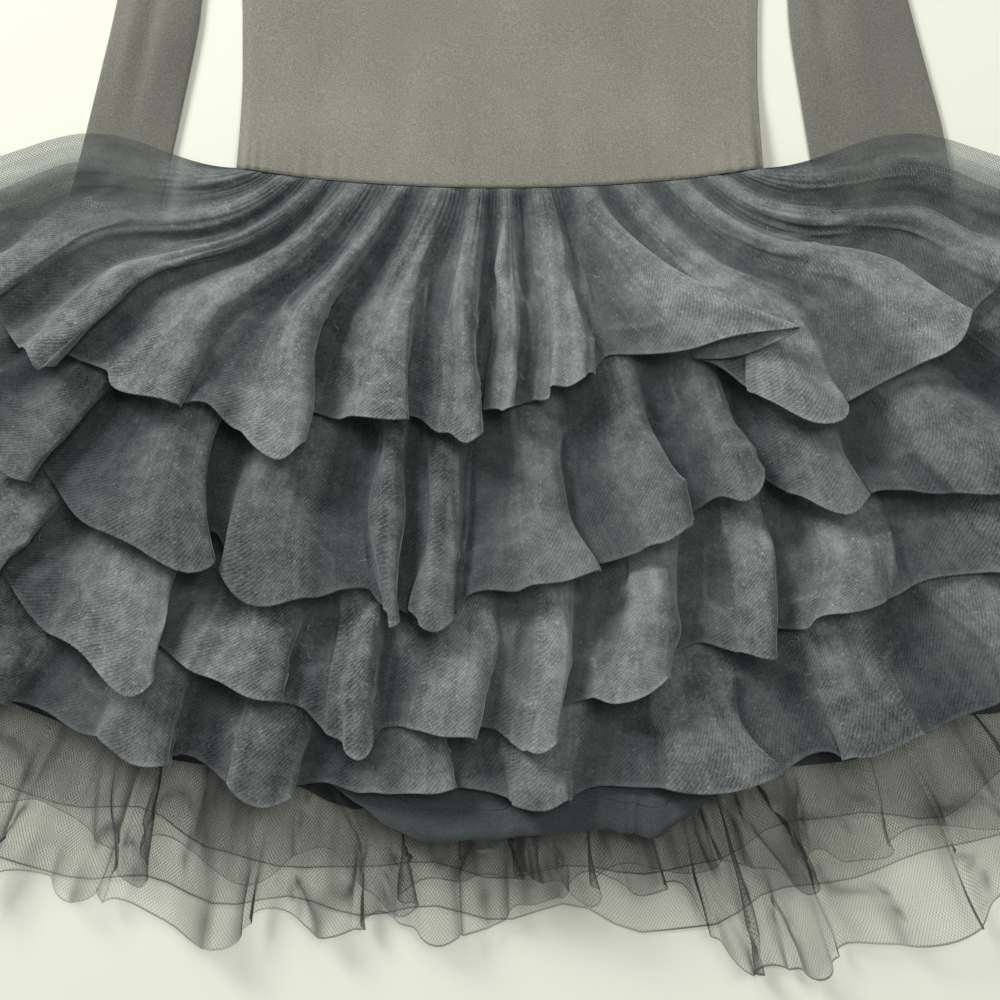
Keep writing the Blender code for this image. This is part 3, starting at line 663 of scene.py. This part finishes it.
def tulleMaterial(name, clothDepth, look, powdery):  # fine, with dust, lighter and denser along its hem; painted light on the fold crests, painted shade in the fold valleys and near the seam
    material, tree, shader = newMaterial(name)
    uv = uvMap(tree, "cloth")
    place = objectPlace(tree)
    threads = useGroup(tree, hexGroup, Vector=uv, Cell=look["cell"], Thread=-0.25, Soft=0.9).outputs["Threads"]
    dust = useGroup(tree, dustGroup)
    hem = mapRange(tree, separate(tree, uv)["Y"], clothDepth - look["hemBand"], clothDepth - look["hemBand"] * 0.6)
    grain = mapRange(tree, noise(tree, place, 620.0, 1.0), 0.40, 0.64)
    lengthways = addNode(tree, "ShaderNodeMapping", {"Scale": (170.0, 9.0, 1.0), "Vector": uv}).outputs["Vector"]
    folds = separate(tree, uvMap(tree, "fold"))
    # crest: painted light on fold crests and crumple ridges, painted shade in the fold valleys; shade: painted shade
    # near the seam
    crest = mapRange(tree, folds["X"], 0.0, 0.9, 0.42, 1.0)
    shade = mapRange(tree, folds["Y"], 0.0, look["shadeEnd"], look["shadeLow"], 1.0)
    weave = addNode(tree, "ShaderNodeTexWave", {"Scale": look["rows"], "Distortion": 0.5, "Vector": uv},
                    bands_direction="DIAGONAL").outputs["Fac"]
    dustAndShading = timesPlus(tree, dust.outputs["Dust"], 0.26, 0.03)
    dustAndShading = plus(tree, dustAndShading, mapRange(tree, noise(tree, lengthways, 1.0, 1.0), 0.40, 0.66, 0.0, 0.10))
    dustAndShading = plus(tree, dustAndShading, mapRange(tree, noise(tree, place, look["mottle"], 2.0), 0.36, 0.70, 0.0, 0.22))
    for mask, share in ((threads, 0.10), (weave, 0.20), (grain, 0.16), (dust.outputs["Specks"], look["speck"])):
        dustAndShading = plus(tree, dustAndShading, times(tree, mask, share))
    # painted light and shade: the crest mask lightens the fold crests and darkens the valleys, the seam mask darkens
    # the cloth near the seam
    dustAndShading = times(tree, times(tree, dustAndShading, crest), shade)
    dustAndShading = timesPlus(tree, hem, 0.10, dustAndShading)
    pale = (*(powdery * part for part in look["dustAndShading"][:3]), 1.0)
    alpha = mapRange(tree, threads, 0.0, 1.0, look["holeAlpha"], look["threadAlpha"])
    alpha = mathNode(tree, "MAXIMUM", alpha, times(tree, hem, 0.90))
    spot = separate(tree, place)
    outwards = mapRange(tree, mathNode(tree, "ABSOLUTE", spot["X"]), *look["sheerX"])
    upwards = mapRange(tree, spot["Y"], *look["sheerY"])
    single = times(tree, times(tree, outwards, upwards), -look["sheer"])
    kept = timesPlus(tree, threads, -0.45, 1.0)
    kept = times(tree, kept, timesPlus(tree, hem, -0.35, 1.0))
    alpha = times(tree, alpha, timesPlus(tree, single, kept, 1.0))
    setInputs(tree, shader, {
        "Base Color": mixColour(tree, dustAndShading, look["dark"], pale), "Alpha": alpha,
        "Normal": bumpNormal(tree, threads, 0.35, 0.0003), "Roughness": 0.72, "Specular IOR Level": 0.25,
        "Sheen Weight": look["sheen"], "Sheen Roughness": 0.45, "Sheen Tint": (0.75, 0.78, 0.82, 1.0),
    })
    return material


netLook = {"colour": (0.008, 0.009, 0.011, 1.0), "pale": (0.035, 0.036, 0.039, 1.0), "cellWidth": 0.0017,
           "cellHeight": 0.0024, "thread": 0.06, "soft": 0.12, "wander": 0.0016}


def netMaterial(name, look):  # stiff threads with nothing between
    material, tree, shader = newMaterial(name)
    uv = uvMap(tree, "cloth")
    split = separate(tree, uv)
    across = timesPlus(tree, noise(tree, uv, 90.0, 0.0), look["wander"], split["X"])
    across = times(tree, across, math.pi / look["cellWidth"])
    along = times(tree, split["Y"], math.pi / look["cellHeight"])
    slants = [mathNode(tree, "ABSOLUTE", mathNode(tree, "SINE", mathNode(tree, turned, across, along)))
              for turned in ("ADD", "SUBTRACT")]
    nearest = mathNode(tree, "MINIMUM", *slants)
    threads = mapRange(tree, nearest, look["thread"], look["thread"] + look["soft"], 1.0, 0.0)
    dust = useGroup(tree, dustGroup).outputs["Dust"]
    pale = times(tree, dust, 0.5)
    folds = separate(tree, uvMap(tree, "fold"))
    edge = mapRange(tree, folds["Y"], 0.992, 0.997, 0.0, 0.62)
    edge = times(tree, edge, timesPlus(tree, dust, 0.6, 0.6))
    dense = mathNode(tree, "MAXIMUM", edge, times(tree, folds["X"], 0.80))
    thread = timesPlus(tree, threads, 0.90, 0.01)
    setInputs(tree, shader, {
        "Base Color": mixColour(tree, pale, look["colour"], look["pale"]),
        "Alpha": mathNode(tree, "MAXIMUM", thread, dense), "Roughness": 0.5, "Sheen Weight": 0.05,
    })
    return material


knitLook = {"dark": (0.142, 0.140, 0.114, 1.0), "pale": (0.298, 0.294, 0.242, 1.0), "grain": 1400.0}
sleeveLook = {"dark": (0.098, 0.098, 0.085, 1.0), "pale": (0.222, 0.222, 0.190, 1.0), "grain": 1400.0}
# slip knit: a darker copy of the bodice knit, painted shade for the slip lying in shadow under the tiers
slipShadedLook = {"dark": (0.026, 0.032, 0.035, 1.0), "pale": (0.068, 0.078, 0.081, 1.0), "grain": 1400.0}


def knitMaterial(name, look):  # matt loops with a soft nap
    material, tree, shader = newMaterial(name)
    place = objectPlace(tree)
    grain = noise(tree, place, look["grain"], 2.0)
    ribs = addNode(tree, "ShaderNodeTexWave", {"Scale": 380.0, "Distortion": 1.5, "Detail": 1.0, "Vector": place})
    dust = useGroup(tree, dustGroup)
    height = timesPlus(tree, ribs.outputs["Fac"], 0.4, grain)
    pale = timesPlus(tree, dust.outputs["Dust"], 0.13, 0.19)
    pale = plus(tree, pale, mapRange(tree, grain, 0.40, 0.65, 0.0, 0.45))
    pale = timesPlus(tree, dust.outputs["Specks"], 0.20, pale)
    setInputs(tree, shader, {
        "Base Color": mixColour(tree, pale, look["dark"], look["pale"]),
        "Normal": bumpNormal(tree, height, 0.25, 0.0003), "Roughness": 0.9, "Specular IOR Level": 0.2,
        "Sheen Weight": 0.35, "Sheen Roughness": 0.5,
    })
    return material


knit = knitMaterial("charcoal_knit", knitLook)
sleeveKnit = knitMaterial("sleeve_knit", sleeveLook)
# a darker copy of the knit as painted shade for the slip
slipShadedKnit = knitMaterial("slip_knit_painted_shade", slipShadedLook)
net = netMaterial("coarse_net", netLook)


def plainMaterial(name, colour, roughness, sheen=0.0):
    material, tree, shader = newMaterial(name)
    setInputs(tree, shader, {"Base Color": colour, "Roughness": roughness, "Sheen Weight": sheen})
    return material


threadBlack = plainMaterial("black_thread", (0.022, 0.022, 0.024, 1.0), 0.6, 0.3)
lintPale = plainMaterial("pale_lint", (0.62, 0.61, 0.58, 1.0), 0.9, 0.3)


lint = {"onKnit": 900.0, "onTulle": 420.0, "length": 0.0034, "thickness": 0.00007, "seed": 4, "lift": 0.0003}
stitch = {"length": 0.0018, "thickness": 0.00022, "lift": 0.0002, "hemPitch": 0.0024, "edgePitch": 0.0026}


def newTree(name, inputs):
    geometry = ("Geometry", "NodeSocketGeometry")
    tree, given, result = newGroup(name, "GeometryNodeTree", [(*geometry, None), *inputs], [geometry])
    return tree, given.outputs, result


def paintInstances(tree, asked, place, result):
    single = addNode(tree, "GeometryNodeRealizeInstances", {"Geometry": place.outputs["Instances"]})
    painted = {"Geometry": single.outputs["Geometry"], "Material": asked["Material"]}
    paint = addNode(tree, "GeometryNodeSetMaterial", painted)
    tree.links.new(paint.outputs["Geometry"], result.inputs["Geometry"])


def randomValue(tree, kind, low, high):
    node = addNode(tree, "FunctionNodeRandomValue", {}, data_type=kind)
    for label, value in (("Min", low), ("Max", high)):
        [socket for socket in node.inputs if socket.name == label and socket.enabled][0].default_value = value
    return [socket for socket in node.outputs if socket.enabled][0]


def fibreTree():  # curved fibres strewn over a surface
    tree, asked, result = newTree("fibres", [
        ("Density", "NodeSocketFloat", 100.0), ("Length", "NodeSocketFloat", 0.003),
        ("Thickness", "NodeSocketFloat", 0.0001), ("Seed", "NodeSocketInt", 1),
        ("Material", "NodeSocketMaterial", None)])
    strewn = {"Mesh": asked["Geometry"], "Density": asked["Density"], "Seed": asked["Seed"]}
    strew = addNode(tree, "GeometryNodeDistributePointsOnFaces", strewn)
    curved = {"Resolution": 4, "Start": (-0.5, 0.0, 0.0), "Middle": (0.1, 0.45, 0.10), "End": (0.5, 0.0, 0.05)}
    bend = addNode(tree, "GeometryNodeCurveQuadraticBezier", curved)
    stretch = addNode(tree, "ShaderNodeCombineXYZ", {axis: asked["Length"] for axis in "XYZ"})
    sized = addNode(tree, "GeometryNodeTransform", {"Geometry": bend.outputs["Curve"], "Scale": stretch.outputs[0]})
    profile = addNode(tree, "GeometryNodeCurvePrimitiveCircle", {"Resolution": 3, "Radius": asked["Thickness"]})
    swept = {"Curve": sized.outputs["Geometry"], "Profile Curve": profile.outputs["Curve"]}
    sweep = addNode(tree, "GeometryNodeCurveToMesh", swept)
    place = addNode(tree, "GeometryNodeInstanceOnPoints", {
        "Points": strew.outputs["Points"], "Instance": sweep.outputs["Mesh"],
        "Rotation": randomValue(tree, "FLOAT_VECTOR", (-0.1, -0.1, 0.0), (0.1, 0.1, 6.28)),
        "Scale": randomValue(tree, "FLOAT", 0.25, 1.0)})
    paintInstances(tree, asked, place, result)
    return tree


def stitchTree():  # stitches end to end along a path
    tree, asked, result = newTree("stitches", [
        ("Pitch", "NodeSocketFloat", 0.0024), ("Length", "NodeSocketFloat", 0.0018),
        ("Thickness", "NodeSocketFloat", 0.0002), ("Material", "NodeSocketMaterial", None)])
    path = addNode(tree, "GeometryNodeMeshToCurve", {"Mesh": asked["Geometry"]})
    spaced = addNode(tree, "GeometryNodeResampleCurve", {"Curve": path.outputs["Curve"], "Length": asked["Pitch"]},
                     mode="LENGTH")
    along = tree.nodes.new("GeometryNodeInputTangent")
    aim = addNode(tree, "FunctionNodeAlignEulerToVector", {"Vector": along.outputs["Tangent"]}, axis="Z")
    thin = {"Vertices": 5, "Depth": asked["Length"], "Radius": asked["Thickness"]}
    rod = addNode(tree, "GeometryNodeMeshCylinder", thin)
    place = addNode(tree, "GeometryNodeInstanceOnPoints", {
        "Points": spaced.outputs["Curve"], "Instance": rod.outputs["Mesh"], "Rotation": aim.outputs["Rotation"]})
    paintInstances(tree, asked, place, result)
    return tree


fibres = fibreTree()
stitches = stitchTree()


def applyTree(piece, tree, **values):
    nodes = piece.modifiers.new("nodes", "NODES")
    nodes.node_group = tree
    for item in tree.interface.items_tree:
        if item.item_type == "SOCKET" and item.in_out == "INPUT" and item.name in values:
            nodes[item.identifier] = values[item.name]
    makePlain(piece)
    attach(piece, "root")
    return piece


def addLint(name, points, density, seed):
    piece = addMesh(name, points + np.array([0, 0, lint["lift"]]), False, lintPale)
    applyTree(piece, fibres, Density=density, Length=lint["length"], Thickness=lint["thickness"], Seed=seed,
              Material=lintPale)
    return piece


def addStitches(name, paths, pitch):
    corners, edges = [], []
    for path in paths:
        first = len(corners)
        corners.extend((path + np.array([0, 0, stitch["lift"]]) + np.array([waistX, waistY, 0.0])).tolist())
        edges.extend((index, index + 1) for index in range(first, len(corners) - 1))
    mesh = bpy.data.meshes.new(name)
    mesh.from_pydata(corners, edges, [])
    mesh.materials.append(threadBlack)
    piece = addObject(name, mesh)
    applyTree(piece, stitches, Pitch=pitch, Length=stitch["length"], Thickness=stitch["thickness"],
              Material=threadBlack)
    return piece


def declareCloth(piece, node):
    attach(piece, "root")
    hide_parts(node)


def declareRing(piece, ring):
    declareCloth(piece, ring["name"])


def buildSkirt():
    stations = skirt["stations"]
    middles = [middleHeight(radius) for radius in stations]
    tops = emptyTops()
    for ring in rings:
        frilled = ring["name"].startswith("tier")
        front, downs, crests = ringFront(ring, bridged(tops), tops, middles)
        back = ringBack(ring, middles, downs)
        points = np.concatenate([front, back], axis=1)
        if frilled:
            points, downs, crests = rolledHem(points, downs, crests)
        uvs = clothUv(points, True)
        # the back half's crest value: a middle tone of the painted fold light on the tiers, no extra density on the
        # nets
        resting = 0.5 if frilled else 0.0
        crests = np.concatenate([crests, np.full((len(downs), back.shape[1] + 1), resting)], axis=1)
        masks = (crests, np.repeat(downs[:, None], crests.shape[1], axis=1))
        if frilled:
            look = tulleMaterial(ring["name"] + "_tulle", float(uvs[1][-1, -1]), tulleLook, ring["powder"])
            piece = addMesh(ring["name"] + "_cloth", points, True, look, uvs, masks)
            fluff = addLint(ring["name"] + "_lint", front[::2, ::2], lint["onTulle"], ring["seed"])
            declareRing(piece, ring)
        elif ring["name"] == "slip":
            piece = addMesh("slip_cloth", points, True, slipShadedKnit, uvs, masks, wall=skirt["slipWall"])
            hemRows = [front[row][::3] for row in (-5, -4)]
            sewn = addStitches("slip_hem_stitches", hemRows, stitch["hemPitch"])
            declareRing(piece, ring)
        else:
            piece = addMesh(ring["name"] + "_cloth", points, True, net, uvs, masks)
            declareRing(piece, ring)
    print("skirt done, top", round(float(tops.max()), 4))
    seam = front[0]
    return float(seam[np.abs(seam[:, 0]) < 0.08][:, 2].max())


waistTop = buildSkirt()


bodice = {
    "side": ((0.010, 0.1380), (0.032, 0.1370), (0.060, 0.1365), (0.100, 0.1375), (0.145, 0.1405),
             (0.190, 0.1440), (0.235, 0.1470), (0.350, 0.1156)),
    "shoulderHeight": 0.350, "neckHalfWidth": 0.062, "frontNeckDrop": 0.060, "backNeckDrop": 0.022,
    "shoulderSlope": 0.018, "neckRoundness": 0.6, "wall": 0.0007, "frontLevel": 0.0026, "waistRamp": 0.090,
    "cornerLow": 0.010, "cornerHigh": 0.060, "columns": 121, "rows": 130, "plyGap": 0.0005, "neckRow": 4,
    "edgeStart": 0.955, "edgeDrop": 0.0008, "pucker": 0.0005, "puckerBeat": 150, "puckerFade": 26,
    "swell": 0.0016, "swellLow": -0.0004, "frontLow": 0.0016,
    "frontCreases": ((0.30, 0.10, 0.02, 0.22, 0.030, -0.0008), (0.62, -0.08, 0.00, 0.16, 0.025, -0.0009),
                     (0.80, -0.15, 0.04, 0.40, 0.040, -0.0010), (0.15, 0.18, 0.05, 0.45, 0.045, -0.0010),
                     (0.45, 0.05, 0.00, 0.12, 0.020, -0.0006), (0.22, -0.20, 0.62, 0.90, 0.035, -0.0009),
                     (0.76, 0.22, 0.60, 0.88, 0.035, -0.0009)),
}


def bodiceGrid(neckDrop):
    heights, widths = zip(*bodice["side"])
    neckShare = bodice["neckHalfWidth"] / widths[-1]
    columns = np.sin(np.linspace(-1.35, 1.35, bodice["columns"]))
    columns = columns / columns[-1]
    insideNeck = np.clip(1 - (columns / neckShare) ** 2, 0, 1) ** bodice["neckRoundness"]
    slope = bodice["shoulderSlope"] * np.clip((1 - np.abs(columns)) / (1 - neckShare), 0, 1)
    top = bodice["shoulderHeight"] + slope - neckDrop * insideNeck
    waist = skirt["waistRise"] * columns ** 2 + seamGap
    shares = np.linspace(0, 1, bodice["rows"])[:, None]
    sideHeights = skirt["waistRise"] + shares * (bodice["shoulderHeight"] - skirt["waistRise"])
    x = columns * np.interp(sideHeights, heights, widths)
    y = waist + shares * (top - waist)
    return x, y, columns + 0 * y, shares + 0 * y


def cornerLift(x, y):
    return liftOverSleeves(x, y) * (1 - ramp(y, bodice["cornerLow"], bodice["cornerHigh"]))


def declarePanel(piece, node):
    declareCloth(piece, node)


def buildBodice():
    x, y, across, up = bodiceGrid(bodice["backNeckDrop"])
    back = np.stack([x, y, cornerLift(x, y)], axis=2)
    piece = addMesh("bodice_back_cloth", back, False, knit, wall=bodice["wall"])
    declarePanel(piece, "bodice_back")
    x, y, across, up = bodiceGrid(bodice["frontNeckDrop"])
    climb = (waistTop - bodice["plyGap"] - bodice["frontLevel"]) * (1 - ramp(y, 0.0, bodice["waistRamp"]))
    z = bodice["frontLevel"] + climb + cornerLift(x, y)
    rounded = 1 - ramp(np.abs(across), bodice["edgeStart"], 1.0) * bodice["edgeDrop"] / bodice["frontLevel"]
    place = (across + 1) / 2
    beat = bodice["puckerBeat"] * across + 6 * softNoise(place, up, 20, 4, 3)
    pucker = bodice["pucker"] * np.sin(beat) * np.exp(-up * bodice["puckerFade"])
    swell = bodice["swell"] * softNoise(place, up, 5, 6, 8) * (1 - np.abs(across) ** 6) * ramp(up, 0.0, 0.15)
    z = z * rounded + pucker + np.maximum(swell, bodice["swellLow"])
    z = z + creaseDepth(place, up, bodice["frontCreases"]) * ramp(y, 0.0, 0.02)
    front = np.stack([x, y, np.maximum(z, bodice["frontLow"])], axis=2)[::-1]
    piece = addMesh("bodice_front_cloth", front, False, knit, wall=bodice["wall"])
    neck = np.abs(across[0]) < bodice["neckHalfWidth"] / bodice["side"][-1][1]
    loose = [addStitches("neck_stitches", [front[bodice["neckRow"], neck]], stitch["edgePitch"]),
             addLint("bodice_lint", front[::2, ::2], lint["onKnit"], lint["seed"])]
    declarePanel(piece, "bodice_front")
    print("bodice done")


buildBodice()


sleeve = {
    "right": ((0.1475, 0.2352, 0.1161, 0.3502), (0.1515, 0.2335, 0.1211, 0.3515), (0.1535, 0.2120, 0.1620, 0.3150),
              (0.1530, 0.1650, 0.1900, 0.2400), (0.1535, 0.1250, 0.2070, 0.1600), (0.1545, 0.0880, 0.2200, 0.0960),
              (0.1620, 0.0310, 0.2350, 0.0310), (0.1730, -0.0500, 0.2440, -0.0520)),
    "left": ((0.1475, 0.2352, 0.1161, 0.3502), (0.1515, 0.2335, 0.1211, 0.3515), (0.1540, 0.2120, 0.1580, 0.3150),
             (0.1560, 0.1650, 0.1800, 0.2400), (0.1580, 0.1250, 0.1960, 0.1600), (0.1610, 0.0880, 0.2060, 0.0960),
             (0.1730, 0.0210, 0.2210, 0.0210), (0.1860, -0.0500, 0.2380, -0.0550)),
    "height": 0.0034, "puff": 0.0034, "rows": 120, "columns": 26, "wall": 0.0006, "flatY": 0.045,
    "edgeShare": 0.55, "domeShare": 0.45, "ripple": 0.0010, "topLow": 0.0018, "cuffRow": -5,
    "creases": {"sleeve_right": ((0.24, 0.06, 0.22, 1.00, 0.06, -0.0030), (0.70, -0.25, 0.15, 0.60, 0.08, -0.0016),
                                 (0.46, 0.14, 0.40, 0.95, 0.07, 0.0016), (0.62, 0.30, 0.05, 0.30, 0.08, -0.0014)),
                "sleeve_left": ((0.55, -0.05, 0.30, 0.95, 0.07, -0.0022), (0.30, 0.22, 0.12, 0.55, 0.08, -0.0016),
                                (0.78, -0.12, 0.45, 0.90, 0.06, 0.0014), (0.40, 0.35, 0.05, 0.28, 0.08, -0.0014))},
}


def sleeveGrid(table, side):
    table = np.array(table)
    steps = np.linspace(0, 1, len(table))
    fine = np.linspace(0, 1, sleeve["rows"])
    smooth = np.stack([np.interp(fine, steps, table[:, column]) for column in range(4)], axis=1)
    kernel = np.ones(9) / 9
    for column in range(4):
        padded = [np.repeat(smooth[:1, column], 4), smooth[:, column], np.repeat(smooth[-1:, column], 4)]
        rounded = np.convolve(np.concatenate(padded), kernel, mode="valid")
        keep = ramp(fine, 0.0, 0.12) * (1 - ramp(fine, 0.9, 1.0))
        smooth[:, column] = smooth[:, column] * (1 - keep) + rounded * keep
    across = (1 - np.cos(np.linspace(0, np.pi, sleeve["columns"]))) / 2
    x = side * (smooth[:, 0:1] + (smooth[:, 2:3] - smooth[:, 0:1]) * across)
    y = smooth[:, 1:2] + (smooth[:, 3:4] - smooth[:, 1:2]) * across
    return x, y, across + 0 * y, fine[:, None] + 0 * y


def buildSleeve(name, table, side, seed):
    x, y, across, down = sleeveGrid(table, side)
    puffed = ramp(y, sleeve["flatY"] - 0.03, sleeve["flatY"] + 0.05) * ramp(down, 0.0, 0.08)
    dome = np.clip(1 - (2 * across - 1) ** 2, 0, 1)
    top = sleeve["height"] * (sleeve["edgeShare"] + sleeve["domeShare"] * dome ** 0.5) + sleeve["puff"] * dome * puffed
    top = top + creaseDepth(across, down, sleeve["creases"][name]) * puffed * dome ** 0.5
    top = top + sleeve["ripple"] * softNoise(across, down, 3, 9, seed) * puffed * dome
    upper = np.stack([x, y, np.maximum(top, sleeve["topLow"])], axis=2)
    lower = np.stack([x, y, 0.0 * x], axis=2)[:, ::-1]
    points = np.concatenate([upper, lower], axis=1)
    if side < 0:
        points = points[:, ::-1]
    piece = addMesh(name + "_cloth", points, True, sleeveKnit, wall=sleeve["wall"])
    declareCloth(piece, name)
    cuff = upper[sleeve["cuffRow"], 2:-2]
    sewn = addStitches(name + "_cuff_stitches", [cuff], stitch["edgePitch"])


buildSleeve("sleeve_right", sleeve["right"], 1, 5)
buildSleeve("sleeve_left", sleeve["left"], -1, 6)
print("sleeves done")


stage = {"size": 3.0, "level": -0.0008, "colour": (0.775, 0.800, 0.690, 1.0), "roughness": 0.9}
lights = (  # place from the waist, size, power, colour
    ("windowLight", (-1.7, 1.5, 1.35), 0.9, 76.0, (1.0, 0.99, 0.97)),
    ("ceilingLight", (0.6, 0.3, 2.4), 1.0, 26.0, (1.0, 0.97, 0.93)),
)
worldLook = {"Color": (0.95, 0.97, 1.0, 1.0), "Strength": 0.26}
cameraLook = {"elevation": 83.0, "distance": 0.750, "lens": 53.6, "aimY": -0.1655, "aimZ": 0.015}


def buildStage():
    mesh = bpy.data.meshes.new("floor")
    size = stage["size"]
    corners = [(x, y, stage["level"]) for x, y in ((-size, -size), (size, -size), (size, size), (-size, size))]
    mesh.from_pydata(corners, [], [(0, 1, 2, 3)])
    mesh.materials.append(plainMaterial("pale_sheet", stage["colour"], stage["roughness"]))
    addObject("floor", mesh)


def addLight(name, offset, size, power, colour):
    light = bpy.data.lights.new(name, "AREA")
    light.size = size
    light.energy = power
    light.color = colour
    lamp = addObject(name, light)
    target = Vector((waistX, waistY - 0.1, 0.0))
    lamp.location = Vector((waistX + offset[0], waistY + offset[1], offset[2]))
    lamp.rotation_euler = (target - lamp.location).to_track_quat("-Z", "Y").to_euler()


def buildCamera():
    camera = addObject("camera", bpy.data.cameras.new("camera"))
    aim = Vector((waistX, waistY + cameraLook["aimY"], cameraLook["aimZ"]))
    tilt = math.radians(cameraLook["elevation"])
    camera.location = aim + Vector((0, -math.cos(tilt), math.sin(tilt))) * cameraLook["distance"]
    camera.rotation_euler = (aim - camera.location).to_track_quat("-Z", "Y").to_euler()
    camera.data.lens = cameraLook["lens"]
    camera.data.sensor_width = 36.0
    camera.data.clip_start = 0.01
    bpy.context.scene.camera = camera


buildStage()
for row in lights:
    addLight(*row)
world = bpy.data.worlds.new("soft")
world.use_nodes = True
setInputs(world.node_tree, world.node_tree.nodes["Background"], worldLook)
scene = bpy.context.scene
scene.world = world
scene.view_settings.view_transform = "Standard"
scene.cycles.transparent_max_bounces = 16
scene.cycles.max_bounces = 5
scene.cycles.diffuse_bounces = 2
buildCamera()
print("stage done")
